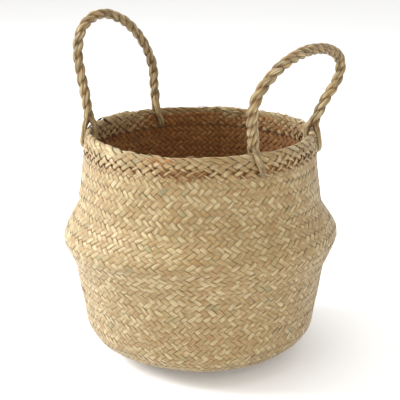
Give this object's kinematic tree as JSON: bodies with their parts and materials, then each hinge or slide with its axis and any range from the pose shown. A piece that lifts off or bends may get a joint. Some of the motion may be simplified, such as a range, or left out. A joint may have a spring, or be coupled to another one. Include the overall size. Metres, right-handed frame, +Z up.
{
  "type": "seagrass storage basket",
  "caption": "Round plaited seagrass belly basket with a fold-in neck and two twisted rope handles, for storage.",
  "frame": {"origin": "centre of the flat base, on the surface that the basket stands on", "axes": "+Z up through the mouth, +X towards the wider and lower of the two handles, +Y to the back"},
  "size_m": [0.2414, 0.2414, 0.301],
  "materials": {
    "plaited_cloth": "matte",
    "hem_cloth": "matte",
    "rope": "matte"
  },
  "bodies": {
    "bowl": {"base_mat": "plaited_cloth", "bowl_foot": "plaited_cloth", "bowl_wall": "plaited_cloth", "belly_underside": "plaited_cloth", "belly_shoulder": "plaited_cloth"},
    "neck": {"neck_wall": "plaited_cloth", "rim_hem": "hem_cloth", "right_front_foot_loop": "rope", "right_back_foot_loop": "rope", "left_back_foot_loop": "rope", "left_front_foot_loop": "rope"},
    "left_handle": {"left_handle_rope": "rope"},
    "right_handle": {"right_handle_rope": "rope"}
  },
  "joints": [
    {"name": "neck_push_down", "type": "slide", "parent": "bowl", "child": "neck", "axis": [0, 0, 1], "range_m": [-0.052, 0], "deforming": ["belly_shoulder"]},
    {"name": "left_handle_swing", "type": "hinge", "parent": "neck", "child": "left_handle", "pos_m": [-0.0875, 0, 0.2277], "axis": [0, -1, 0], "range_deg": [-90, 90]},
    {"name": "right_handle_swing", "type": "hinge", "parent": "neck", "child": "right_handle", "pos_m": [0.09, 0, 0.2277], "axis": [0, 1, 0], "range_deg": [-95, 80]}
  ]
}
